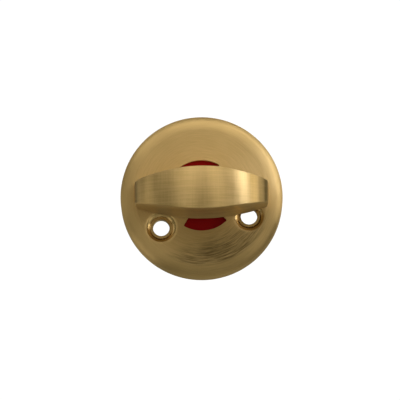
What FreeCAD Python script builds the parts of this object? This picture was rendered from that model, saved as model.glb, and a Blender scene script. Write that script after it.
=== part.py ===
import FreeCAD, Part
import math
import os
import re

import Sketcher

# A thumbturn on a round rose with two crescent windows that show whether the door is locked.
# Every piece is drawn with the door's surface at height 0 and the height growing towards
# the user, then stood upright: the user looks along +Y, and +Z is up.
# All lengths are in millimetres and all angles in degrees.
SIZES = {
    # Pressed rose
    "rose_radius": 25.0,
    "rose_height": 9.5,
    "rose_sheet": 1.2,
    "shoulder_radius": 3.0,
    "easing_radius": 8.0,
    "easing_angle": 20.0,
    # Screw holes, each in a pressed dimple below the turn axis
    "screw_offset": 13.6,
    "screw_drop": 8.25,
    "screw_hole_radius": 2.55,
    "dimple_radius": 5.2,
    "dimple_roll": 2.2,
    "dimple_angle": 50.0,
    "dimple_depth": 1.0,
    # Windows in the rose
    "window_outer_radius": 11.0,
    "window_inner_radius": 6.9,
    "window_half_angle": 38.0,
    "window_corner": 0.4,
    # Half-moon grip
    "grip_half_length": 20.55,
    "grip_rise": 16.3,
    "grip_side_height": 4.2,
    "grip_foot_inset": 0.45,
    "grip_edge_break": 0.25,
    "foot_gap": 0.15,
    "foot_half_width": 7.25,
    "foot_end_half_width": 3.3,
    "waist_height": 6.0,
    "waist_half_width": 5.4,
    "waist_end_half_width": 3.25,
    "crown_half_width": 6.3,
    "crown_end_half_width": 5.5,
    "crown_across_radius": 30.0,
    "end_flat_half_width": 2.2,
    "end_roll": 2.4,
    "end_roll_angle": 60.0,
    # Hub of the grip
    "hub_radius": 5.0,
    "hub_tail": 5.0,
    "hub_chamfer": 0.5,
    "key_half_width": 4.1,
    "spindle_width": 5.0,
    "spindle_tail": 45.0,
    "spindle_chamfer": 0.8,
    "socket_depth": 12.0,
    "pin_depth": 2.6,
    "pin_radius": 1.0,
    "pin_wall": 0.35,
    "pin_slot": 0.5,
    "pin_inset": 0.2,
    # Front bush
    "bush_radius": 6.0,
    "bush_proud": 0.1,
    "bush_flange_radius": 6.6,
    "bush_flange": 0.5,
    # Indicator disc and its red sectors
    "disc_radius": 11.5,
    "disc_thickness": 1.0,
    "disc_boss_radius": 7.5,
    "disc_boss": 1.0,
    "red_inner_radius": 6.2,
    "red_thickness": 0.4,
    "red_half_angle": 49.0,
    "red_side_gap": 0.2,
    # Stop cam and its two stop pins
    "cam_thickness": 1.0,
    "cam_radius": 7.5,
    "lug_reach": 12.2,
    "lug_half_width": 2.0,
    "stop_circle": 10.8,
    "stop_radius": 1.25,
    "stop_sink": 0.8,
    "cam_gap": 0.3,
    "travel_angle": 98.0,
    "slack_angle": 4.0,
    "rest_angle": 7.0,
    # Moulded base plate
    "base_web": 1.5,
    "base_wall": 1.6,
    "base_margin": 0.3,
    "recess_gap": 0.6,
    "rib_width": 1.4,
    "rib_count": 6,
    "rib_sink": 0.4,
    "stop_boss_wall": 1.1,
    "collar_radius": 4.7,
    "collar_lap": 0.9,
    "collar_mouth_radius": 4.2,
    # Parts on the back of the hub
    "spring_inner_radius": 5.5,
    "spring_outer_radius": 8.4,
    "spring_height": 0.8,
    "spring_sheet": 0.4,
    "washer_thickness": 0.6,
    "ring_thickness": 1.0,
    "ring_bite": 0.3,
    "ring_band": 1.7,
    "ring_gap_half_angle": 20.0,
    "ring_lug_radius": 1.35,
    "ring_lug_circle": 6.6,
    "ring_lug_hole": 0.6,
    # Clearances
    "bearing_gap": 0.05,
    "fit_gap": 0.02,
    "layer_gap": 0.05,
    # How far cuts, and the blocks that they trim, run past the finished faces
    "cut_margin": 1.0,
}

# Lengths that differ by less than this are the same
SAME = 1e-4

# The numbers of a sketch item's points
START, END, CENTRE = range(1, 4)

# The numbers of a sketch's own axes, which start at its origin
HORIZONTAL_AXIS = -1
VERTICAL_AXIS = -2

# Heights that several pieces share
ROSE_INSIDE = "(rose_height - rose_sheet)"
FOOT = "(rose_height + foot_gap)"
CROWN = "(rose_height + grip_rise)"
DISC_FRONT = f"({ROSE_INSIDE} - bush_flange - layer_gap)"
DISC_BACK = f"({DISC_FRONT} - disc_thickness)"
BOSS_BACK = f"({DISC_BACK} - disc_boss)"
CAM_BACK = f"({BOSS_BACK} - cam_gap - cam_thickness)"
BASE_FRONT = f"({CAM_BACK} - layer_gap)"
WEB_BACK = f"({BASE_FRONT} - base_web)"
SPRING_BACK = f"({WEB_BACK} - layer_gap - spring_height)"
WASHER_FRONT = f"({SPRING_BACK} - layer_gap)"
WASHER_BACK = f"({WASHER_FRONT} - washer_thickness)"
RING_FRONT = f"({WASHER_BACK} - fit_gap)"
RING_BACK = f"({RING_FRONT} - ring_thickness)"
PIN_HEIGHT = "(0 - pin_depth)"
BORE = "(hub_radius + bearing_gap)"
BASE_RADIUS = "(rose_radius - rose_sheet - base_margin)"
RECESS = "(spring_outer_radius + recess_gap)"

# The rose's face eases into its tight shoulder along a wider arc: how far each arc's centre
# lies from the turn axis, and how high
SHOULDER_CENTRE = "(rose_radius - shoulder_radius)"
EASING_CENTRE = f"({SHOULDER_CENTRE} - (easing_radius - shoulder_radius) * sin(easing_angle))"
EASING_HEIGHT = "(rose_height - easing_radius)"
SHOULDER_HEIGHT = (
    f"({EASING_HEIGHT} + (easing_radius - shoulder_radius) * cos(easing_angle))"
)

# The dimple's back surface is a cone that ends at the screw hole
BACK_ROLL = "(dimple_roll - rose_sheet)"
BACK_CONE_RADIUS = f"(dimple_radius - {BACK_ROLL} * sin(dimple_angle))"
BACK_CONE_HEIGHT = f"(rose_height - dimple_roll + {BACK_ROLL} * cos(dimple_angle))"
CUP_TIP = (
    f"({BACK_CONE_HEIGHT} - ({BACK_CONE_RADIUS} - screw_hole_radius) * tan(dimple_angle))"
)
COLLAR_FRONT = f"({CUP_TIP} + collar_lap)"

# The stop pins stand at equal angles either side of the top
CONTACT = "asin((lug_half_width + stop_radius + fit_gap) / stop_circle)"
STOP_TURN = f"(travel_angle / 2 + {CONTACT} / 1 deg)"

UPRIGHT = FreeCAD.Rotation(FreeCAD.Vector(1, 0, 0), 90)

doc = FreeCAD.newDocument("thumbturn")
sheet = doc.addObject("Spreadsheet::Sheet", "Sizes")
parts = []


def fill_sheet():
    for row, (alias, number) in enumerate(SIZES.items(), start=1):
        sheet.set(f"A{row}", alias)
        sheet.set(f"B{row}", str(number))
        sheet.setAlias(f"B{row}", alias)
    doc.recompute()


def bound(text):
    """The expression with each size's name pointing at its cell of the sheet."""
    return re.sub(
        r"[a-z][a-z_]+",
        lambda word: f"Sizes.{word.group()}" if word.group() in SIZES else word.group(),
        str(text),
    )


def value(text):
    """The expression's number at the sheet's sizes."""
    result = sheet.evalExpression(bound(text))
    return float(getattr(result, "Value", result))


def tie(thing, **properties):
    for name, text in properties.items():
        thing.setExpression(name, bound(text))


def keep(thing, node, turn=0.0):
    """Name a sub-part, stand it upright and turn it about the turn axis."""
    thing.Label = node
    spin = FreeCAD.Rotation(FreeCAD.Vector(0, 0, 1), turn)
    thing.Placement = FreeCAD.Placement(FreeCAD.Vector(0, 0, 0), UPRIGHT * spin)
    parts.append(thing)


def keep_turning(thing, node):
    """Name a sub-part that turns with the grip, which rests a little clockwise."""
    keep(thing, node, -value("rest_angle"))


# Sketches and features


def new_body(name):
    return doc.addObject("PartDesign::Body", name)


def origin(body, role):
    return next(f for f in body.Origin.OriginFeatures if f.Role == role)


def new_sketch(body, name, role, lift="0", shift="0"):
    """A sketch on a plane of the body, lifted off it and shifted along the sketch's X."""
    sketch = body.newObject("Sketcher::SketchObject", name)
    sketch.AttachmentSupport = [(origin(body, role), "")]
    sketch.MapMode = "FlatFace"
    sketch.setExpression("AttachmentOffset.Base.z", bound(lift))
    sketch.setExpression("AttachmentOffset.Base.x", bound(shift))
    return sketch


def measure(sketch, kind, item, point, text):
    """Tie a point's distance from the sketch's origin, or put it on the axis."""
    if text in ("0", 0):
        axis = VERTICAL_AXIS if kind == "DistanceX" else HORIZONTAL_AXIS
        sketch.addConstraint(Sketcher.Constraint("PointOnObject", item, point, axis))
        return
    constraint = Sketcher.Constraint(kind, HORIZONTAL_AXIS, START, item, point, value(text))
    index = sketch.addConstraint(constraint)
    sketch.setExpression(f"Constraints[{index}]", bound(text))


def tie_radius(sketch, item, text):
    index = sketch.addConstraint(Sketcher.Constraint("Radius", item, value(text)))
    sketch.setExpression(f"Constraints[{index}]", bound(text))


def arc_between(start, end, centre):
    """The shorter arc about the centre, and which of its ends is the start."""
    first = math.atan2(start.y - centre.y, start.x - centre.x)
    last = math.atan2(end.y - centre.y, end.x - centre.x)
    circle = Part.Circle(centre, FreeCAD.Vector(0, 0, 1), (start - centre).Length)
    if (last - first) % (2 * math.pi) < math.pi:
        return Part.ArcOfCircle(circle, first, last), START, END
    return Part.ArcOfCircle(circle, last, first), END, START


def outline(sketch, corners):
    """A closed outline. A corner is (x, y), and the side after it is straight, or
    (x, y, centre x, centre y, radius), and the side after it is an arc."""
    points = [FreeCAD.Vector(value(c[0]), value(c[1]), 0) for c in corners]
    ends = []
    for number, corner in enumerate(corners):
        start = points[number]
        end = points[(number + 1) % len(points)]
        if len(corner) == 2:
            item = sketch.addGeometry(Part.LineSegment(start, end))
            first, last = START, END
        else:
            centre = FreeCAD.Vector(value(corner[2]), value(corner[3]), 0)
            arc, first, last = arc_between(start, end, centre)
            item = sketch.addGeometry(arc)
            tie_radius(sketch, item, corner[4])
        measure(sketch, "DistanceX", item, first, corner[0])
        measure(sketch, "DistanceY", item, first, corner[1])
        ends.append((item, first, last))
    for number, (item, _, last) in enumerate(ends):
        following = ends[(number + 1) % len(ends)]
        sketch.addConstraint(
            Sketcher.Constraint("Coincident", item, last, following[0], following[1])
        )


def rectangle(sketch, left, bottom, right, top):
    outline(sketch, [(left, bottom), (right, bottom), (right, top), (left, top)])


def circle(sketch, x, y, radius):
    centre = FreeCAD.Vector(value(x), value(y), 0)
    shape = Part.Circle(centre, FreeCAD.Vector(0, 0, 1), value(radius))
    item = sketch.addGeometry(shape)
    measure(sketch, "DistanceX", item, CENTRE, x)
    measure(sketch, "DistanceY", item, CENTRE, y)
    tie_radius(sketch, item, radius)


def pad(body, sketch, length, upward=True):
    feature = body.newObject("PartDesign::Pad", f"{sketch.Name}Pad")
    feature.Profile = sketch
    feature.Reversed = not upward
    tie(feature, Length=length)
    return feature


def pocket(body, sketch, length, upward=False, both_ways=False):
    feature = body.newObject("PartDesign::Pocket", f"{sketch.Name}Pocket")
    feature.Profile = sketch
    feature.Reversed = upward
    feature.Midplane = both_ways
    tie(feature, Length=length)
    return feature


def turned(body, sketch, kind="Revolution"):
    """A solid, or with Groove a cut, turned about the sketch's vertical axis."""
    feature = body.newObject(f"PartDesign::{kind}", f"{sketch.Name}{kind}")
    feature.Profile = sketch
    feature.ReferenceAxis = (sketch, ["V_Axis"])
    feature.Angle = 360
    return feature


def around(body, feature, count):
    pattern = body.newObject("PartDesign::PolarPattern", f"{feature.Name}Pattern")
    pattern.Originals = [feature]
    pattern.Axis = (origin(body, "Z_Axis"), [""])
    pattern.Angle = 360
    tie(pattern, Occurrences=count)
    body.Tip = pattern
    return pattern


def mirrored(body, features, name):
    mirror = body.newObject("PartDesign::Mirrored", name)
    mirror.Originals = features
    mirror.MirrorPlane = (origin(body, "YZ_Plane"), [""])
    body.Tip = mirror
    return mirror


def edge_names(shape, wanted):
    return [f"Edge{n}" for n, edge in enumerate(shape.Edges, start=1) if wanted(edge)]


def sector(sketch, outer, inner, half_angle):
    """A ring's sector, centred on the sketch's upward direction."""
    across = f"sin({half_angle})"
    along = f"cos({half_angle})"
    outline(
        sketch,
        [
            (f"{outer} * {across}", f"{outer} * {along}", "0", "0", outer),
            (f"-{outer} * {across}", f"{outer} * {along}"),
            (f"-{inner} * {across}", f"{inner} * {along}", "0", "0", inner),
            (f"{inner} * {across}", f"{inner} * {along}"),
        ],
    )


def keyed_hole(body, name, height, depth):
    """A hole with two flats, which fits over the flats of the hub."""
    sketch = new_sketch(body, name, "XY_Plane", height)
    half = "(key_half_width + bearing_gap)"
    reach = f"sqrt({BORE} ^ 2 - {half} ^ 2)"
    outline(
        sketch,
        [
            (half, f"-{reach}"),
            (half, reach, "0", "0", BORE),
            (f"-{half}", reach),
            (f"-{half}", f"-{reach}", "0", "0", BORE),
        ],
    )
    return pocket(body, sketch, depth)


# Rose


def dimple_cup(body):
    """The pressed cup of one screw hole: a roll and a cone down to a flat ring, in which
    the hole is."""
    roll_radius = "(dimple_radius - dimple_roll * sin(dimple_angle))"
    roll_height = "(rose_height - dimple_roll * (1 - cos(dimple_angle)))"
    ring_height = "(rose_height - dimple_depth)"
    ring_radius = f"({roll_radius} - ({roll_height} - {ring_height}) / tan(dimple_angle))"
    centre = ("dimple_radius", "rose_height - dimple_roll")
    sketch = new_sketch(body, "DimpleCup", "XZ_Plane", "screw_drop", "screw_offset")
    outline(
        sketch,
        [
            ("dimple_radius", "rose_height", *centre, "dimple_roll"),
            (roll_radius, roll_height),
            (ring_radius, ring_height),
            ("screw_hole_radius", ring_height),
            ("screw_hole_radius", CUP_TIP),
            (BACK_CONE_RADIUS, BACK_CONE_HEIGHT, *centre, BACK_ROLL),
            ("dimple_radius", ROSE_INSIDE),
        ],
    )
    return turned(body, sketch)


def shoulder_arcs(depth):
    """The wider and the tighter arc from the face to the wall, at a depth in the sheet,
    each as its first point, its centre and its radius."""
    easing = f"(easing_radius - {depth})"
    tight = f"(shoulder_radius - {depth})"
    return (
        (EASING_CENTRE, f"rose_height - {depth}", EASING_CENTRE, EASING_HEIGHT, easing),
        (
            f"{SHOULDER_CENTRE} + {tight} * sin(easing_angle)",
            f"{SHOULDER_HEIGHT} + {tight} * cos(easing_angle)",
            SHOULDER_CENTRE,
            SHOULDER_HEIGHT,
            tight,
        ),
    )


def rose_cover():
    body = new_body("RoseCover")
    shell = new_sketch(body, "Shell", "XZ_Plane")
    hole = "(bush_radius + fit_gap)"
    easing, tight = shoulder_arcs("rose_sheet")
    outline(
        shell,
        [
            (hole, "rose_height"),
            *shoulder_arcs("0"),
            ("rose_radius", SHOULDER_HEIGHT),
            ("rose_radius", "0"),
            ("rose_radius - rose_sheet", "0"),
            ("rose_radius - rose_sheet", SHOULDER_HEIGHT, *tight[2:]),
            (*tight[:2], *easing[2:]),
            easing[:2],
            (hole, ROSE_INSIDE),
        ],
    )
    turned(body, shell)

    window = new_sketch(body, "Window", "XY_Plane", "rose_height")
    sector(window, "window_outer_radius", "window_inner_radius", "window_half_angle")
    around(body, pocket(body, window, "rose_sheet"), 2)
    doc.recompute()
    base = body.Tip
    corners = body.newObject("PartDesign::Fillet", "WindowCorners")
    radii = (value("window_outer_radius"), value("window_inner_radius"))

    def is_corner(edge):
        line = edge.Vertexes[0].Point - edge.Vertexes[-1].Point
        upright = math.hypot(line.x, line.y) < SAME < abs(line.z)
        reach = math.hypot(edge.Vertexes[0].X, edge.Vertexes[0].Y)
        return upright and min(abs(reach - r) for r in radii) < SAME

    corners.Base = (base, edge_names(base.Shape, is_corner))
    tie(corners, Radius="window_corner")

    opening = new_sketch(body, "DimpleOpening", "XY_Plane", "rose_height")
    circle(opening, "screw_offset", "-screw_drop", "dimple_radius")
    circle(opening, "-screw_offset", "-screw_drop", "dimple_radius")
    pocket(body, opening, "rose_sheet + cut_margin")
    cup = dimple_cup(body)
    mirrored(body, [cup], "SecondCup")
    keep(body, "rose_cover")


# Grip


def lens_section(body, name, height, middle, end):
    """A lens with blunt ends: two arcs across, half widths at its middle and its ends."""
    half = "(grip_half_length + cut_margin)"
    radius = f"(({half} ^ 2 + ({middle} - {end}) ^ 2) / (2 * ({middle} - {end})))"
    inset = f"({radius} - {middle})"
    sketch = new_sketch(body, name, "XY_Plane", height)
    outline(
        sketch,
        [
            (half, f"-{end}"),
            (half, end, "0", f"-{inset}", radius),
            (f"-{half}", end),
            (f"-{half}", f"-{end}", "0", inset, radius),
        ],
    )
    return sketch


def blend(share, low, high):
    return f"({low} + ({high} - {low}) * {share})"


def grip_block(body):
    """A bar with dished sides, wider at its foot and at its crown than at its waist."""
    spread = "(foot_half_width - waist_half_width)"
    flare = f"((waist_height ^ 2 + {spread} ^ 2) / (2 * {spread}))"
    sections = []
    flare_steps = 4
    for step in range(flare_steps):
        height = f"(waist_height * {step} / {flare_steps})"
        share = (
            f"(({flare} - sqrt({flare} ^ 2 - (waist_height - {height}) ^ 2)) / {spread})"
        )
        sections.append(
            (
                f"{FOOT} + {height}",
                blend(share, "waist_half_width", "foot_half_width"),
                blend(share, "waist_end_half_width", "foot_end_half_width"),
            )
        )
    body_steps = 3
    rise = "(grip_rise - foot_gap - waist_height + cut_margin)"
    for step in range(body_steps + 1):
        share = f"({step} / {body_steps}) ^ 2"
        sections.append(
            (
                f"{FOOT} + waist_height + {rise} * {step} / {body_steps}",
                blend(share, "waist_half_width", "crown_half_width"),
                blend(share, "waist_end_half_width", "crown_end_half_width"),
            )
        )
    sketches = [
        lens_section(body, f"GripSection{number}", *section)
        for number, section in enumerate(sections)
    ]
    loft = body.newObject("PartDesign::AdditiveLoft", "GripLoft")
    loft.Profile = sketches[0]
    loft.Sections = sketches[1:]
    return loft


def half_moon_cut(body):
    """Trim the bar to a half moon: short straight sides under half an ellipse. The cut
    swings about an axis below the grip, so the crown is a little rounded across."""
    sketch = new_sketch(body, "HalfMoon", "XZ_Plane")
    side = f"({FOOT} + grip_side_height)"
    drop = "(grip_side_height + foot_half_width)"
    foot = f"(grip_half_length - grip_foot_inset * {drop} / grip_side_height)"
    swing_centre = f"({CROWN} - crown_across_radius)"
    low = f"({FOOT} - foot_half_width)"
    outside = "(grip_half_length + 2 * cut_margin)"
    top = f"({CROWN} + 2 * cut_margin)"

    long_end = FreeCAD.Vector(value("grip_half_length"), value(side), 0)
    centre = FreeCAD.Vector(0, value(side), 0)
    arch_top = FreeCAD.Vector(0, value(CROWN), 0)
    arch = sketch.addGeometry(
        Part.ArcOfEllipse(Part.Ellipse(long_end, arch_top, centre), 0, math.pi)
    )
    sketch.exposeInternalGeometry(arch)
    long_axis = arch + 1
    short_axis = arch + 2
    corners = [
        (f"-{foot}", low),
        (f"-{outside}", low),
        (f"-{outside}", top),
        (outside, top),
        (outside, low),
        (foot, low),
    ]
    points = [FreeCAD.Vector(value(x), value(y), 0) for x, y in corners]
    points = [2 * centre - long_end, *points, long_end]
    lines = []
    for first, second in zip(points, points[1:]):
        lines.append(sketch.addGeometry(Part.LineSegment(first, second)))
    for first, second in zip([arch, *lines], [*lines, arch]):
        sketch.addConstraint(Sketcher.Constraint("Coincident", first, END, second, START))
    for line, (x, y) in zip(lines, corners):
        measure(sketch, "DistanceX", line, END, x)
        measure(sketch, "DistanceY", line, END, y)
    measure(sketch, "DistanceX", arch, CENTRE, "0")
    for point in (START, END, CENTRE):
        measure(sketch, "DistanceY", arch, point, side)
    sketch.addConstraint(Sketcher.Constraint("Horizontal", long_axis))
    for axis, length in (
        (long_axis, "2 * grip_half_length"),
        (short_axis, f"2 * ({CROWN} - {side})"),
    ):
        index = sketch.addConstraint(Sketcher.Constraint("Distance", axis, value(length)))
        sketch.setExpression(f"Constraints[{index}]", bound(length))

    axis = new_sketch(body, "SwingAxis", "XZ_Plane")
    line = axis.addGeometry(
        Part.LineSegment(
            FreeCAD.Vector(-value(outside), value(swing_centre), 0),
            FreeCAD.Vector(value(outside), value(swing_centre), 0),
        )
    )
    for point, end in ((START, f"-{outside}"), (END, outside)):
        measure(axis, "DistanceX", line, point, end)
        measure(axis, "DistanceY", line, point, swing_centre)
    cut = body.newObject("PartDesign::Groove", "HalfMoonCut")
    cut.Profile = sketch
    cut.ReferenceAxis = (axis, ["Edge1"])
    cut.Midplane = True
    widest = "max(foot_half_width; crown_half_width + crown_end_half_width)"
    reach = f"(crown_across_radius - {CROWN} + {FOOT})"
    tie(cut, Angle=f"2 * atan(({widest} + cut_margin) / {reach})")


def round_ends(body):
    """Round the four upright corners: each an arc off the flat end, and then a straight
    run that leaves the grip's side."""
    arc_x = "(grip_half_length - end_roll)"
    leave_x = f"({arc_x} + end_roll * cos(end_roll_angle))"
    leave_y = "(end_flat_half_width + end_roll * sin(end_roll_angle))"
    beyond_x = "(grip_half_length + cut_margin)"
    beyond_y = "(foot_half_width + cut_margin)"
    back_x = f"({leave_x} - ({beyond_y} - {leave_y}) * tan(end_roll_angle))"
    sketch = new_sketch(body, "EndCorners", "XY_Plane")
    for right in ("", "-"):
        for up in ("", "-"):
            flat_y = f"{up}end_flat_half_width"
            centre = (f"{right}{arc_x}", flat_y)
            outline(
                sketch,
                [
                    (f"{right}grip_half_length", flat_y, *centre, "end_roll"),
                    (f"{right}{leave_x}", f"{up}{leave_y}"),
                    (f"{right}{back_x}", f"{up}{beyond_y}"),
                    (f"{right}{beyond_x}", f"{up}{beyond_y}"),
                    (f"{right}{beyond_x}", flat_y),
                ],
            )
    pocket(body, sketch, f"{CROWN} + cut_margin", upward=True)


def thumbturn_grip():
    body = new_body("ThumbturnGrip")
    grip_block(body)
    half_moon_cut(body)
    round_ends(body)
    doc.recompute()

    base = body.Tip
    crisp = body.newObject("PartDesign::Chamfer", "GripEdges")
    foot = value(FOOT)

    def is_crown_edge(edge):
        box = edge.BoundBox
        return box.XLength > value("grip_half_length") and box.ZMin > foot + SAME

    crisp.Base = (base, edge_names(base.Shape, is_crown_edge))
    tie(crisp, Size="grip_edge_break")

    hub = new_sketch(body, "Hub", "XY_Plane", FOOT)
    circle(hub, "0", "0", "hub_radius")
    shaft = pad(body, hub, f"{FOOT} + hub_tail", upward=False)
    doc.recompute()
    lead_in = body.newObject("PartDesign::Chamfer", "HubLeadIn")
    tail = -value("hub_tail")
    lead_in.Base = (
        shaft,
        edge_names(shaft.Shape, lambda e: abs(e.BoundBox.ZMax - tail) < SAME),
    )
    tie(lead_in, Size="hub_chamfer")

    flats = new_sketch(body, "HubFlats", "XY_Plane", "-hub_tail")
    beyond = "(hub_radius + cut_margin)"
    for sign in ("", "-"):
        rectangle(flats, f"{sign}key_half_width", f"-{beyond}", f"{sign}{beyond}", beyond)
    pocket(body, flats, f"{DISC_FRONT} + hub_tail", upward=True)

    groove = new_sketch(body, "RingGroove", "XZ_Plane")
    root = "(hub_radius - ring_bite)"
    rectangle(groove, root, f"{RING_BACK} - fit_gap", beyond, f"{RING_FRONT} + fit_gap")
    turned(body, groove, "Groove")

    socket = new_sketch(body, "SpindleSocket", "XY_Plane", "-hub_tail")
    half = "(spindle_width / 2 + fit_gap)"
    rectangle(socket, f"-{half}", f"-{half}", half, half)
    pocket(body, socket, "socket_depth", upward=True)

    cross = new_sketch(body, "PinHole", "XZ_Plane")
    circle(cross, "0", PIN_HEIGHT, "pin_radius + fit_gap")
    pocket(body, cross, f"2 * {beyond}", both_ways=True)
    keep_turning(body, "thumbturn_grip")


# Turning parts inside the rose


def indicator_disc():
    body = new_body("IndicatorDisc")
    plate = new_sketch(body, "Plate", "XY_Plane", DISC_BACK)
    circle(plate, "0", "0", "disc_radius")
    pad(body, plate, "disc_thickness")
    boss = new_sketch(body, "Boss", "XY_Plane", DISC_BACK)
    circle(boss, "0", "0", "disc_boss_radius")
    pad(body, boss, "disc_boss", upward=False)
    seat = new_sketch(body, "RedSeat", "XY_Plane", DISC_FRONT)
    sector(seat, "(disc_radius + cut_margin)", "red_inner_radius", "red_half_angle")
    around(body, pocket(body, seat, "red_thickness"), 2)
    keyed_hole(body, "DiscKey", DISC_FRONT, f"{DISC_FRONT} - {BOSS_BACK}")
    keep_turning(body, "indicator_disc")


def red_sectors():
    """Two red sectors that lie flush in the disc's front."""
    body = new_body("RedSectors")
    body.AllowCompound = True
    sketch = new_sketch(body, "RedSector", "XY_Plane", f"{DISC_FRONT} - red_thickness")
    inner = "(red_inner_radius + fit_gap)"
    sector(sketch, "disc_radius", inner, "(red_half_angle - red_side_gap)")
    around(body, pad(body, sketch, "red_thickness"), 2)
    keep_turning(body, "indicator_red_sectors")


def stop_cam():
    """A steel plate on the hub's flats. Its lug swings between the two stop pins."""
    body = new_body("StopCam")
    ring = new_sketch(body, "CamRing", "XY_Plane", CAM_BACK)
    circle(ring, "0", "0", "cam_radius")
    pad(body, ring, "cam_thickness")
    lug = new_sketch(body, "CamLug", "XY_Plane", CAM_BACK)
    rectangle(lug, "-lug_half_width", "hub_radius", "lug_half_width", "lug_reach")
    # Half of the travel lies either side of the top, past the nominal locked place
    lug.setExpression(
        "AttachmentOffset.Rotation.Angle", bound("travel_angle / 2 - slack_angle")
    )
    pad(body, lug, "cam_thickness")
    keyed_hole(body, "CamKey", f"{CAM_BACK} + cam_thickness", "cam_thickness")
    keep_turning(body, "stop_cam")


def thrust_washer():
    body = new_body("ThrustWasher")
    sketch = new_sketch(body, "Washer", "XZ_Plane")
    rectangle(sketch, BORE, WASHER_BACK, "spring_outer_radius", WASHER_FRONT)
    turned(body, sketch)
    keep_turning(body, "thrust_washer")


def retaining_ring():
    """A snap ring with two drilled lugs, open at the bottom."""
    body = new_body("RetainingRing")
    inner = "(hub_radius - ring_bite + fit_gap)"
    band = new_sketch(body, "Band", "XY_Plane", RING_BACK)
    circle(band, "0", "0", f"{inner} + ring_band")
    pad(body, band, "ring_thickness")
    lugs = new_sketch(body, "Lugs", "XY_Plane", RING_BACK)
    lug_angle = "(ring_gap_half_angle + asin(ring_lug_radius / ring_lug_circle) / 1 deg)"
    across = f"ring_lug_circle * sin({lug_angle})"
    down = f"-ring_lug_circle * cos({lug_angle})"
    for sign in ("", "-"):
        circle(lugs, f"{sign}{across}", down, "ring_lug_radius")
    pad(body, lugs, "ring_thickness")
    bore = new_sketch(body, "RingBore", "XY_Plane", RING_FRONT)
    circle(bore, "0", "0", inner)
    pocket(body, bore, "ring_thickness")
    gap = new_sketch(body, "RingGap", "XY_Plane", RING_FRONT)
    reach = "(ring_lug_circle + 2 * ring_lug_radius)"
    outline(
        gap,
        [
            ("0", "0"),
            (f"{reach} * sin(ring_gap_half_angle)", f"-{reach} * cos(ring_gap_half_angle)"),
            (f"-{reach} * sin(ring_gap_half_angle)", f"-{reach} * cos(ring_gap_half_angle)"),
        ],
    )
    pocket(body, gap, "ring_thickness")
    holes = new_sketch(body, "LugHoles", "XY_Plane", RING_FRONT)
    for sign in ("", "-"):
        circle(holes, f"{sign}{across}", down, "ring_lug_hole")
    pocket(body, holes, "ring_thickness")
    keep_turning(body, "retaining_ring")


def spindle():
    """A square bar from the hub's socket, through the door, to the lock."""
    body = new_body("Spindle")
    sketch = new_sketch(body, "Square", "XY_Plane", "-spindle_tail")
    half = "(spindle_width / 2)"
    rectangle(sketch, f"-{half}", f"-{half}", half, half)
    inside = "socket_depth - hub_tail - layer_gap"
    bar = pad(body, sketch, f"spindle_tail + {inside}")
    doc.recompute()
    tip = body.newObject("PartDesign::Chamfer", "SpindleTip")
    end = -value("spindle_tail")
    tip.Base = (bar, edge_names(bar.Shape, lambda e: abs(e.BoundBox.ZMax - end) < SAME))
    tie(tip, Size="spindle_chamfer")
    cross = new_sketch(body, "SpindlePinHole", "XZ_Plane")
    circle(cross, "0", PIN_HEIGHT, "pin_radius + fit_gap")
    pocket(body, cross, "spindle_width + 2 * cut_margin", both_ways=True)
    keep_turning(body, "spindle")


def spindle_pin():
    """A slotted spring pin across the hub and the spindle."""
    outer = doc.addObject("Part::Cylinder", "PinOuter")
    inner = doc.addObject("Part::Cylinder", "PinInner")
    slot = doc.addObject("Part::Box", "PinSlot")
    half = "(hub_radius - pin_inset)"
    tie(outer, Radius="pin_radius", Height=f"2 * {half}")
    tie(inner, Radius="pin_radius - pin_wall", Height=f"2 * {half}")
    tie(slot, Length="pin_slot", Width="pin_radius", Height=f"2 * {half}")
    slot.setExpression("Placement.Base.x", bound("-pin_slot / 2"))
    tube = doc.addObject("Part::Cut", "PinTube")
    tube.Base = outer
    tube.Tool = inner
    pin = doc.addObject("Part::Cut", "Pin")
    pin.Base = tube
    pin.Tool = slot
    doc.recompute()
    keep_turning(pin, "spindle_pin")
    across = FreeCAD.Placement(
        FreeCAD.Vector(0, value(half), value(PIN_HEIGHT)),
        FreeCAD.Rotation(FreeCAD.Vector(1, 0, 0), 90),
    )
    pin.Placement = pin.Placement * across


# Fixed parts inside the rose


def front_bush():
    body = new_body("FrontBush")
    sketch = new_sketch(body, "Bush", "XZ_Plane")
    flange_back = f"({ROSE_INSIDE} - bush_flange)"
    outline(
        sketch,
        [
            (BORE, flange_back),
            ("bush_flange_radius", flange_back),
            ("bush_flange_radius", ROSE_INSIDE),
            ("bush_radius", ROSE_INSIDE),
            ("bush_radius", "rose_height + bush_proud"),
            (BORE, "rose_height + bush_proud"),
        ],
    )
    turned(body, sketch)
    keep(body, "front_bush")


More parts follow.
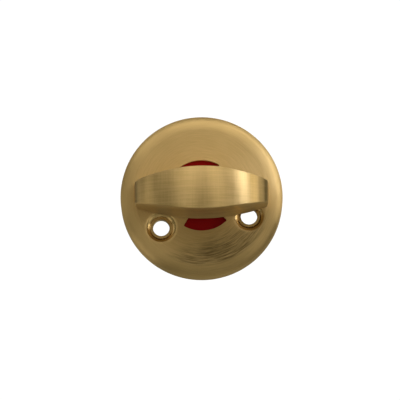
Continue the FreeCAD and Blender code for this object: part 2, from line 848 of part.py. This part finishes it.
def base_plate():
    """A moulded plate inside the rose: web, rim, recess, ribs, screw collars, pin bosses."""
    body = new_body("BasePlate")
    shell = new_sketch(body, "BaseShell", "XZ_Plane")
    recess_wall = f"({RECESS} + base_wall)"
    rim = f"({BASE_RADIUS} - base_wall)"
    outline(
        shell,
        [
            (BORE, BASE_FRONT),
            (BORE, WEB_BACK),
            (RECESS, WEB_BACK),
            (RECESS, "0"),
            (recess_wall, "0"),
            (recess_wall, WEB_BACK),
            (rim, WEB_BACK),
            (rim, "0"),
            (BASE_RADIUS, "0"),
            (BASE_RADIUS, BASE_FRONT),
        ],
    )
    turned(body, shell)

    rib = new_sketch(body, "Rib", "XY_Plane", "rib_sink")
    inner = f"({RECESS} + base_wall / 2)"
    outer = f"({BASE_RADIUS} - base_wall / 2)"
    rectangle(rib, "-rib_width / 2", inner, "rib_width / 2", outer)
    around(body, pad(body, rib, f"{WEB_BACK} - rib_sink"), "rib_count")

    collars = new_sketch(body, "Collars", "XY_Plane")
    for sign in ("", "-"):
        circle(collars, f"{sign}screw_offset", "-screw_drop", "collar_radius")
    pad(body, collars, COLLAR_FRONT)

    bosses = new_sketch(body, "StopBosses", "XY_Plane")
    holes_x = f"stop_circle * sin({STOP_TURN})"
    holes_y = f"stop_circle * cos({STOP_TURN})"
    for sign in ("", "-"):
        circle(bosses, f"{sign}{holes_x}", holes_y, "stop_radius + stop_boss_wall")
    pad(body, bosses, WEB_BACK)

    nest = new_sketch(body, "CollarBore", "XZ_Plane", "screw_drop", "screw_offset")
    nest_radius = "(screw_hole_radius + collar_lap / tan(dimple_angle) + 2 * bearing_gap)"
    outline(
        nest,
        [
            ("0", "-cut_margin"),
            ("collar_mouth_radius", "-cut_margin"),
            ("collar_mouth_radius", "0"),
            (nest_radius, COLLAR_FRONT),
            (nest_radius, f"{COLLAR_FRONT} + cut_margin"),
            ("0", f"{COLLAR_FRONT} + cut_margin"),
        ],
    )
    mirrored(body, [turned(body, nest, "Groove")], "SecondCollarBore")

    centre = new_sketch(body, "RecessClear", "XY_Plane")
    circle(centre, "0", "0", RECESS)
    pocket(body, centre, WEB_BACK, upward=True)

    holes = new_sketch(body, "StopHoles", "XY_Plane", BASE_FRONT)
    for sign in ("", "-"):
        circle(holes, f"{sign}{holes_x}", holes_y, "stop_radius + fit_gap")
    pocket(body, holes, f"{BASE_FRONT} - stop_sink + layer_gap")
    keep(body, "base_plate")


def stop_pins():
    """Two steel pins, pressed into the base plate, that stop the cam's lug."""
    pins = []
    for name, sign in (("StopPinRight", ""), ("StopPinLeft", "-")):
        pin = doc.addObject("Part::Cylinder", name)
        tie(
            pin,
            Radius="stop_radius",
            Height=f"{CAM_BACK} + cam_thickness - stop_sink",
        )
        pin.setExpression(
            "Placement.Base.x", bound(f"{sign}stop_circle * sin({STOP_TURN})")
        )
        pin.setExpression("Placement.Base.y", bound(f"stop_circle * cos({STOP_TURN})"))
        pin.setExpression("Placement.Base.z", bound("stop_sink"))
        pins.append(pin)
    pair = doc.addObject("Part::Compound", "StopPins")
    pair.Links = pins
    doc.recompute()
    keep(pair, "stop_pins")


def disc_spring():
    """A conical spring washer that takes up the end play of the hub."""
    body = new_body("DiscSpring")
    sketch = new_sketch(body, "Cone", "XZ_Plane")
    top = f"({WEB_BACK} - layer_gap)"
    outline(
        sketch,
        [
            ("spring_inner_radius", f"{SPRING_BACK}"),
            ("spring_outer_radius", f"{top} - spring_sheet"),
            ("spring_outer_radius", top),
            ("spring_inner_radius", f"{SPRING_BACK} + spring_sheet"),
        ],
    )
    turned(body, sketch)
    keep(body, "disc_spring")


def failed(thing):
    return any(word in thing.State for word in ("Invalid", "Error"))


def check_and_write():
    doc.recompute()
    broken = [thing.Label for thing in doc.Objects if failed(thing)]
    if broken:
        raise SystemExit(f"these objects failed: {broken}")
    os.makedirs("parts", exist_ok=True)
    for part in parts:
        if part.Shape.isNull() or not part.Shape.isValid():
            raise SystemExit(f"{part.Label} has no valid shape")
    for part in parts:
        part.Shape.exportStep(os.path.join("parts", f"{part.Label}.step"))
        print(f"{part.Label}: {part.Shape.Volume:.2f} mm3, {len(part.Shape.Solids)} solids")


fill_sheet()
rose_cover()
front_bush()
base_plate()
stop_pins()
disc_spring()
thumbturn_grip()
indicator_disc()
red_sectors()
stop_cam()
thrust_washer()
retaining_ring()
spindle()
spindle_pin()
check_and_write()
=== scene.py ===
"""A satin brass thumbturn on its round rose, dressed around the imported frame."""

import math

import bpy
from mathutils import Matrix, Vector


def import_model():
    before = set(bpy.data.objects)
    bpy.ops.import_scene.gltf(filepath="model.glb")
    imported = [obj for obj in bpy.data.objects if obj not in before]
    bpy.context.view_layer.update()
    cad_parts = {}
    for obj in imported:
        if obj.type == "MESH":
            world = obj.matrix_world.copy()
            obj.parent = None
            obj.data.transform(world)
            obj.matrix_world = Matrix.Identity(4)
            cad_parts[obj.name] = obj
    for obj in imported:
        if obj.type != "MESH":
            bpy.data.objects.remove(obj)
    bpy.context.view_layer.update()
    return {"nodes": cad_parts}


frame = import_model()
nodes = frame["nodes"]

MM = 0.001

# The grip rests a little clockwise of the rose's own level
REST_ANGLE = math.radians(7.0)
GRIP_ALONG = Vector((math.cos(REST_ANGLE), 0.0, -math.sin(REST_ANGLE)))
GRIP_ACROSS = Vector((math.sin(REST_ANGLE), 0.0, math.cos(REST_ANGLE)))

# How far the brush reaches on the rose, and the two dimpled screw holes in it: how far they
# are to each side of the turn axis and below it, and how wide
BRUSHED_RADIUS = 21.1 * MM
DIMPLE_OFFSET = 13.6 * MM
DIMPLE_DROP = 8.25 * MM
DIMPLE_RADIUS = 5.2 * MM
HOLE_RADIUS = 2.55 * MM

# The photograph's view: from below, with a long lens, and rolled until the grip is
# almost level
VIEW_BELOW = math.radians(9.6)
VIEW_ROLL = math.radians(0.6)
VIEW_DISTANCE = 1.25
SENSOR_WIDTH_MM = 36.0
CLIP_NEAR = 0.05
CLIP_FAR = 20.0

# The photograph's frame: its width at the object's distance, and in pixels its size and
# where the object's origin lies in it
FRAME_WIDTH = 123.9 * MM
IMAGE_SIZE = 400
ORIGIN_COLUMN = 201.6
ORIGIN_ROW = 200.4


def srgb(red, green, blue):
    """A colour given in 0 to 255, as the linear values that a shader takes."""

    def linear(level):
        share = level / 255
        return share / 12.92 if share <= 0.04045 else ((share + 0.055) / 1.055) ** 2.4

    return (linear(red), linear(green), linear(blue), 1.0)


# Shader building

# A noise's values are mostly within this range
NOISE_RANGE = (0.3, 0.7)

# The places of the mix node's sockets for two colours and for their mixture
COLOUR_A = 6
COLOUR_B = 7
COLOUR_RESULT = 2


class Shader:
    """A material's node tree, with short calls for the nodes that the finishes share."""

    def __init__(self, name):
        self.material = bpy.data.materials.new(name)
        self.material.use_nodes = True
        self.tree = self.material.node_tree
        self.surface = self.tree.nodes["Principled BSDF"]
        self.position = self.add("ShaderNodeTexCoord").outputs["Object"]
        self.normal = self.add("ShaderNodeNewGeometry").outputs["Normal"]

    def add(self, kind, **settings):
        node = self.tree.nodes.new(kind)
        for name, value in settings.items():
            setattr(node, name, value)
        return node

    def feed(self, socket, value):
        if isinstance(value, bpy.types.NodeSocket):
            self.tree.links.new(value, socket)
        else:
            socket.default_value = value

    def set(self, **sockets):
        for name, value in sockets.items():
            self.feed(self.surface.inputs[name.replace("_", " ")], value)

    def source(self, name):
        """What already feeds one of the surface's sockets."""
        return self.surface.inputs[name].links[0].from_socket

    def math(self, operation, first, second=0.0):
        node = self.add("ShaderNodeMath", operation=operation)
        self.feed(node.inputs[0], first)
        self.feed(node.inputs[1], second)
        return node.outputs[0]

    def vector(self, operation, first, second=(0.0, 0.0, 0.0)):
        node = self.add("ShaderNodeVectorMath", operation=operation)
        self.feed(node.inputs[0], first)
        self.feed(node.inputs[1], second)
        return node.outputs["Value" if operation in ("DOT_PRODUCT", "LENGTH") else "Vector"]

    def combine(self, x, y, z):
        node = self.add("ShaderNodeCombineXYZ")
        for socket, value in zip(node.inputs, (x, y, z)):
            self.feed(socket, value)
        return node.outputs[0]

    def split(self, vector):
        node = self.add("ShaderNodeSeparateXYZ")
        self.feed(node.inputs[0], vector)
        return node.outputs

    def noise(self, vector, scale, detail=2.0, roughness=0.5):
        node = self.add("ShaderNodeTexNoise")
        self.feed(node.inputs["Vector"], vector)
        node.inputs["Scale"].default_value = scale
        node.inputs["Detail"].default_value = detail
        node.inputs["Roughness"].default_value = roughness
        return node.outputs["Fac"]

    def remap(self, value, low, high, to_low, to_high, smooth=False):
        node = self.add("ShaderNodeMapRange")
        if smooth:
            node.interpolation_type = "SMOOTHSTEP"
        self.feed(node.inputs["Value"], value)
        for name, number in zip(
            ("From Min", "From Max", "To Min", "To Max"), (low, high, to_low, to_high)
        ):
            self.feed(node.inputs[name], number)
        return node.outputs["Result"]

    def fade(self, value, to_low, to_high):
        """A noise's usual range, carried over to other limits."""
        return self.remap(value, *NOISE_RANGE, to_low, to_high)

    def stretch(self, pattern, contrast):
        """The pattern with more or less contrast about its middle."""
        away = self.math("SUBTRACT", pattern, 0.5)
        return self.math("ADD", 0.5, self.math("MULTIPLY", away, contrast))

    def mix(self, share, first, second):
        """Two colours mixed. The sockets' places are those of the node's colour mode."""
        node = self.add("ShaderNodeMix", data_type="RGBA")
        self.feed(node.inputs["Factor"], share)
        self.feed(node.inputs[COLOUR_A], first)
        self.feed(node.inputs[COLOUR_B], second)
        return node.outputs[COLOUR_RESULT]

    def bump(self, height, strength, distance):
        node = self.add("ShaderNodeBump")
        self.feed(node.inputs["Height"], height)
        node.inputs["Strength"].default_value = strength
        node.inputs["Distance"].default_value = distance
        return node.outputs["Normal"]

    def world_direction(self, direction):
        """A fixed direction of the piece, turned with it when its joint moves."""
        node = self.add(
            "ShaderNodeVectorTransform",
            vector_type="VECTOR",
            convert_from="OBJECT",
            convert_to="WORLD",
        )
        self.feed(node.inputs[0], direction)
        return node.outputs[0]


BRASS_LIGHT = srgb(219, 185, 124)
BRASS_DEEP = srgb(205, 171, 109)
# A darker, warmer brass painted as shade on the steep cone round each screw hole
BRASS_HOLE_SHADE = srgb(176, 132, 62)
# Black, mixed in as painted shade low on the rose's face
PAINTED_SHADE_BLACK = (0.0, 0.0, 0.0, 1.0)

# How rough the brushed brass is, and how much more so across its grooves
ROSE_ROUGHNESS = 0.45
ROSE_ANISOTROPY = 0.85
GRIP_ROUGHNESS = 0.42
GRIP_ANISOTROPY = 0.9

# How much the roughness varies with the brushed lines and over wider clouds
STREAK_ROUGHNESS = 0.04
CLOUD_ROUGHNESS = 0.02
CLOUDS_PER_METRE = 90.0

# The brushed lines as fine noise, and how deep they are
LINE_DETAIL = 3.0
LINE_ROUGHNESS = 0.6
GROOVE_STRENGTH = 0.5
GROOVE_DEPTH = 0.03 * MM

# Brushed lines in the rose: per metre of radius, and breaks per radian. Past the brushed
# face they fade to a share of their strength.
RING_LINES = 3600.0
RING_BREAKS = 3.5
FACE_FADE = 1.0 * MM
RIM_SHARE = 0.35

# Low on the face, a little to the right, the lines are coarser, and below the grip the face
# is darkened with painted shade where the grip would shadow it: the direction, the distances
# from the turn axis over which each sets in, and how dark the painted shade gets on the
# whole, between the lines and on them
COARSE_SIDE = Vector((0.26, 0.0, -0.97))
COARSE_RANGE = (8.0 * MM, 14.0 * MM)
COARSE_CONTRAST = 1.5
PAINTED_SHADE_RANGE = (12.0 * MM, 17.0 * MM)
PAINTED_SHADE_DEPTH = 0.38
PAINTED_SHADE_SHARES = (1.6 * PAINTED_SHADE_DEPTH, 0.4 * PAINTED_SHADE_DEPTH)

# The dimples are plain and glossier from a little inside their edge, and round the hole
# painted shade darkens their steep cone
DIMPLE_FADE = 0.8 * MM
DIMPLE_GLOSS = 0.2
HOLE_SHADE_SHARE = 0.7
HOLE_SHADE_WIDTH = 1.0 * MM

# Brushed lines on the grip: per metre across them and along them
GRIP_LINES = 1700.0
GRIP_BREAKS = 80.0

# What the crown has first and the dished sides second: the share of the lines that run
# the other way, and the contrast of them all. A point is on a side where its normal's
# part across the grip is past this range.
SIDE_RANGE = (0.5, 0.8)
CROSS_SHARES = (0.35, 0.1)
GRIP_CONTRASTS = (2.7, 1.2)


def satin_brass(shader, streaks, grooves, roughness, anisotropy):
    """The shared finish: streaks tint the metal and change its gloss, and the light
    spreads across the direction of the grooves."""
    clouds = shader.noise(shader.position, CLOUDS_PER_METRE, detail=LINE_DETAIL)
    in_world = shader.world_direction(grooves)
    shader.set(
        Base_Color=shader.mix(shader.fade(streaks, 0.0, 1.0), BRASS_DEEP, BRASS_LIGHT),
        Metallic=1.0,
        Roughness=shader.math(
            "ADD",
            shader.fade(streaks, roughness - STREAK_ROUGHNESS, roughness + STREAK_ROUGHNESS),
            shader.fade(clouds, -CLOUD_ROUGHNESS, CLOUD_ROUGHNESS),
        ),
        Anisotropic=anisotropy,
        Tangent=shader.vector("CROSS_PRODUCT", shader.normal, in_world),
        Normal=shader.bump(streaks, GROOVE_STRENGTH, GROOVE_DEPTH),
    )


def brushed_rose():
    """Satin brass, brushed in circles round the turn axis."""
    shader = Shader("brushed_rose_brass")
    x, y, z = shader.split(shader.position)
    square = shader.math("ADD", shader.math("MULTIPLY", x, x), shader.math("MULTIPLY", z, z))
    radius = shader.math("SQRT", square)
    angle = shader.math("ARCTAN2", z, x)
    rings = shader.combine(
        shader.math("MULTIPLY", radius, RING_LINES),
        shader.math("MULTIPLY", angle, RING_BREAKS),
        shader.math("MULTIPLY", y, RING_LINES),
    )
    streaks = shader.noise(rings, 1.0, detail=LINE_DETAIL, roughness=LINE_ROUGHNESS)
    on_face = shader.remap(
        radius, BRUSHED_RADIUS, BRUSHED_RADIUS + FACE_FADE, 1.0, RIM_SHARE
    )

    # The brush doesn't reach into the two dimples
    beside = shader.math("SUBTRACT", shader.math("ABSOLUTE", x), DIMPLE_OFFSET)
    place = shader.combine(beside, 0.0, shader.math("ADD", z, DIMPLE_DROP))
    distance = shader.vector("LENGTH", place)
    inside = shader.remap(
        distance, DIMPLE_RADIUS - DIMPLE_FADE, DIMPLE_RADIUS, 1.0, 0.0
    )
    plain = shader.math("SUBTRACT", 1.0, inside)
    brushed = shader.math("MULTIPLY", on_face, plain)

    low_side = shader.vector("DOT_PRODUCT", shader.position, COARSE_SIDE)
    coarse = shader.remap(low_side, *COARSE_RANGE, 1.0, COARSE_CONTRAST, smooth=True)
    streaks = shader.stretch(streaks, shader.math("MULTIPLY", brushed, coarse))
    round_axis = shader.vector("CROSS_PRODUCT", shader.position, (0.0, 1.0, 0.0))
    satin_brass(shader, streaks, round_axis, ROSE_ROUGHNESS, ROSE_ANISOTROPY)

    # Painted shade: low on the face, where the grip would cast its shadow, the colour is
    # mixed towards black, more between the lines than on them
    painted_shade_area = shader.math(
        "MULTIPLY", shader.remap(low_side, *PAINTED_SHADE_RANGE, 0.0, 1.0), brushed
    )
    dark = shader.math("MULTIPLY", painted_shade_area, shader.fade(streaks, *PAINTED_SHADE_SHARES))
    # Painted shade: the steep cone round each hole is painted a darker, warmer brass
    hole_shade = shader.remap(distance, HOLE_RADIUS, HOLE_RADIUS + HOLE_SHADE_WIDTH, HOLE_SHADE_SHARE, 0.0)
    hole_shaded = shader.mix(hole_shade, shader.source("Base Color"), BRASS_HOLE_SHADE)
    gloss = shader.math("MULTIPLY", inside, DIMPLE_GLOSS)
    shader.set(
        Anisotropic=shader.math("MULTIPLY", plain, ROSE_ANISOTROPY),
        Roughness=shader.math("SUBTRACT", shader.source("Roughness"), gloss),
        Base_Color=shader.mix(dark, hole_shaded, PAINTED_SHADE_BLACK),
    )
    return shader.material


def brushed_grip():
    """Satin brass, brushed along the grip, with fainter lines across."""
    shader = Shader("brushed_grip_brass")
    along = shader.vector("DOT_PRODUCT", shader.position, GRIP_ALONG)
    across = shader.vector("DOT_PRODUCT", shader.position, GRIP_ACROSS)
    depth = shader.split(shader.position)[1]

    def lines(along_scale, across_scale, depth_scale):
        return shader.noise(
            shader.combine(
                shader.math("MULTIPLY", along, along_scale),
                shader.math("MULTIPLY", across, across_scale),
                shader.math("MULTIPLY", depth, depth_scale),
            ),
            1.0,
            detail=LINE_DETAIL,
            roughness=LINE_ROUGHNESS,
        )

    # The crown faces the user and the dished sides face across, so each has its own lines
    across_world = shader.world_direction(GRIP_ACROSS)
    facing = shader.vector("DOT_PRODUCT", shader.normal, across_world)
    side = shader.remap(shader.math("ABSOLUTE", facing), *SIDE_RANGE, 0.0, 1.0)
    on_crown = lines(GRIP_BREAKS, GRIP_LINES, GRIP_BREAKS)
    on_sides = lines(GRIP_BREAKS, GRIP_BREAKS, GRIP_LINES)
    streaks = shader.remap(side, 0.0, 1.0, on_crown, on_sides)
    cross_marks = lines(GRIP_LINES, GRIP_BREAKS, GRIP_BREAKS)
    share = shader.remap(side, 0.0, 1.0, *CROSS_SHARES)
    both = shader.remap(share, 0.0, 1.0, streaks, cross_marks)
    both = shader.stretch(both, shader.remap(side, 0.0, 1.0, *GRIP_CONTRASTS))
    satin_brass(shader, both, GRIP_ALONG, GRIP_ROUGHNESS, GRIP_ANISOTROPY)
    return shader.material


# The fine grain of the plain finishes: specks per metre, their darkness and roughness
# against the rest, and their relief
GRAIN_SCALE = 4000.0
GRAIN_DETAIL = 3.0
GRAIN_SHADE = 0.88
GRAIN_ROUGHNESS = 0.05
GRAIN_STRENGTH = 0.15
GRAIN_RELIEF = 0.01 * MM


def speckled(name, colour, roughness, metallic=0.0, gloss=0.5):
    """A plain finish with a fine grain: moulded plastic, or plated or blued steel."""
    shader = Shader(name)
    specks = shader.noise(shader.position, GRAIN_SCALE, detail=GRAIN_DETAIL)
    dark = tuple(level * GRAIN_SHADE for level in colour[:3]) + (1.0,)
    shader.set(
        Base_Color=shader.mix(shader.fade(specks, 0.0, 1.0), dark, colour),
        Metallic=metallic,
        Roughness=shader.fade(
            specks, roughness - GRAIN_ROUGHNESS, roughness + GRAIN_ROUGHNESS
        ),
        Specular_IOR_Level=gloss,
        Normal=shader.bump(specks, GRAIN_STRENGTH, GRAIN_RELIEF),
    )
    return shader.material


def finish(node, material):
    """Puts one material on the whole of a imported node."""
    slots = nodes[node].data.materials
    for number in range(len(slots)):
        slots[number] = material
    if not slots:
        slots.append(material)


finish("rose_cover", brushed_rose())
finish("thumbturn_grip", brushed_grip())
finish("front_bush", speckled("natural_nylon", srgb(222, 218, 205), 0.45))
finish("indicator_disc", speckled("white_plastic", srgb(235, 235, 232), 0.4))
finish("indicator_red_sectors", speckled("red_plastic", srgb(168, 6, 5), 0.6, gloss=0.12))
finish("base_plate", speckled("black_nylon", srgb(30, 30, 31), 0.55))

zinc = speckled("zinc_plated_steel", srgb(196, 200, 206), 0.32, metallic=1.0)
for node in ("stop_cam", "thrust_washer", "spindle"):
    finish(node, zinc)

pin_steel = speckled("plain_pin_steel", srgb(150, 150, 150), 0.3, metallic=1.0)
for node in ("stop_pins", "spindle_pin"):
    finish(node, pin_steel)

blued = speckled("blued_spring_steel", srgb(72, 74, 82), 0.35, metallic=1.0)
for node in ("disc_spring", "retaining_ring"):
    finish(node, blued)


# Floor, lights, background and camera

# The floor lies well below the object, and the camera sees it glow a little
FLOOR_HEIGHT = -1.4
FLOOR_SIZE = 12.0
FLOOR_TONES = (srgb(238, 238, 236), srgb(243, 243, 242))
FLOOR_CLOUDS_PER_METRE = 3.0
FLOOR_ROUGHNESS = 0.9
FLOOR_GLOW = 0.8


def floor():
    """A wide pale square below the object."""
    half = FLOOR_SIZE / 2
    mesh = bpy.data.meshes.new("floor")
    corners = [(x * half, y * half, 0) for x, y in ((-1, -1), (1, -1), (1, 1), (-1, 1))]
    mesh.from_pydata(corners, [], [(0, 1, 2, 3)])
    thing = bpy.data.objects.new("floor", mesh)
    thing.location.z = FLOOR_HEIGHT
    bpy.context.scene.collection.objects.link(thing)

    shader = Shader("pale_floor")
    clouds = shader.noise(shader.position, FLOOR_CLOUDS_PER_METRE)
    tone = shader.mix(clouds, *FLOOR_TONES)
    seen = shader.add("ShaderNodeLightPath").outputs["Is Camera Ray"]
    shader.set(
        Base_Color=tone,
        Roughness=FLOOR_ROUGHNESS,
        Emission_Color=tone,
        Emission_Strength=shader.math("MULTIPLY", seen, FLOOR_GLOW),
    )
    thing.data.materials.append(shader.material)


LIGHT_DISTANCE = 1.0
NEUTRAL = (1.0, 1.0, 1.0)
COOL = (0.72, 0.79, 1.0)
WARM = (1.0, 0.92, 0.5)

# A cool softbox to the right, a wide one above, and weak fills and reflectors round them:
# name, span of azimuths, span of elevations, power in watts and colour
SOFTBOXES = (
    ("key", (48, 61), (6, 36), 3.5, COOL),
    ("key_high", (48, 61), (36, 60), 1.2, NEUTRAL),
    ("right", (62, 84), (-16, 12), 1.2, NEUTRAL),
    ("right_high", (62, 84), (12, 40), 0.5, WARM),
    ("far_right", (84, 112), (-14, 30), 0.7, NEUTRAL),
    ("top", (-13, 31), (36, 58), 2.0, NEUTRAL),
    ("top_left", (-60, -14), (36, 64), 1.0, NEUTRAL),
    ("front_right", (11, 30), (-14, 36), 0.8, NEUTRAL),
    ("front_left", (-27, -5), (-14, 36), 0.6, NEUTRAL),
    ("left", (-90, -60), (0, 60), 0.7, NEUTRAL),
    ("far_left", (-125, -91), (-20, 20), 0.4, NEUTRAL),
    ("low_left", (-120, -62), (-42, -14), 0.8, NEUTRAL),
    ("low_right", (30, 62), (-42, -14), 0.4, NEUTRAL),
    ("behind", (142, 180), (-20, 30), 0.4, WARM),
    ("behind_low", (150, 210), (-60, -20), 0.3, WARM),
)


def area_light(name, azimuths, elevations, power, colour):
    """A soft light that fills these spans of degrees. Azimuth 0 is the user's side and 90
    is to the user's right."""
    azimuth = math.radians(sum(azimuths) / 2)
    elevation = math.radians(sum(elevations) / 2)
    half_across = math.radians(azimuths[1] - azimuths[0]) / 2
    half_up = math.radians(elevations[1] - elevations[0]) / 2
    away = Vector(
        (
            math.sin(azimuth) * math.cos(elevation),
            -math.cos(azimuth) * math.cos(elevation),
            math.sin(elevation),
        )
    )
    light = bpy.data.lights.new(name, "AREA")
    light.shape = "RECTANGLE"
    light.size = 2 * LIGHT_DISTANCE * math.tan(half_across) * math.cos(elevation)
    light.size_y = 2 * LIGHT_DISTANCE * math.tan(half_up)
    light.energy = power
    light.color = colour
    lamp = bpy.data.objects.new(name, light)
    facing = away.to_track_quat("Z", "Y").to_matrix().to_4x4()
    lamp.matrix_world = Matrix.Translation(away * LIGHT_DISTANCE) @ facing
    bpy.context.scene.collection.objects.link(lamp)


# What the world lights the object with, and what the camera sees of it
AMBIENT = (0.17, 0.17, 0.13, 1.0)
BACKGROUND = (1.05, 1.05, 1.05, 1.0)


def world():
    """A faint light all round, and a plain white background for the camera."""
    scene = bpy.context.scene
    scene.world = bpy.data.worlds.new("studio")
    scene.world.use_nodes = True
    tree = scene.world.node_tree
    seen = tree.nodes.new("ShaderNodeMix")
    seen.data_type = "RGBA"
    seen.inputs[COLOUR_A].default_value = AMBIENT
    seen.inputs[COLOUR_B].default_value = BACKGROUND
    path = tree.nodes.new("ShaderNodeLightPath")
    tree.links.new(path.outputs["Is Camera Ray"], seen.inputs["Factor"])
    tree.links.new(seen.outputs[COLOUR_RESULT], tree.nodes["Background"].inputs["Color"])
    scene.view_settings.view_transform = "Standard"


def camera():
    """The photograph's view of the object."""
    scene = bpy.context.scene
    lens = bpy.data.cameras.new("camera")
    lens.sensor_width = SENSOR_WIDTH_MM
    lens.lens = SENSOR_WIDTH_MM * VIEW_DISTANCE / FRAME_WIDTH
    lens.clip_start = CLIP_NEAR
    lens.clip_end = CLIP_FAR
    thing = bpy.data.objects.new("camera", lens)

    # Below the grip and facing it, then rolled about the line of sight
    away = -GRIP_ACROSS * math.sin(VIEW_BELOW) + Vector((0, -1, 0)) * math.cos(VIEW_BELOW)
    level_up = (GRIP_ACROSS - away * GRIP_ACROSS.dot(away)).normalized()
    level_right = level_up.cross(away)
    up = level_up * math.cos(VIEW_ROLL) + level_right * math.sin(VIEW_ROLL)
    right = up.cross(away)

    # Aimed so that the origin comes to its pixel
    per_pixel = FRAME_WIDTH / IMAGE_SIZE
    target = (
        right * (IMAGE_SIZE / 2 - ORIGIN_COLUMN) * per_pixel
        + up * (ORIGIN_ROW - IMAGE_SIZE / 2) * per_pixel
    )
    turn = Matrix((right, up, away)).transposed().to_4x4()
    thing.matrix_world = Matrix.Translation(target + away * VIEW_DISTANCE) @ turn
    scene.collection.objects.link(thing)
    scene.camera = thing


floor()
world()
for light in SOFTBOXES:
    area_light(*light)
camera()
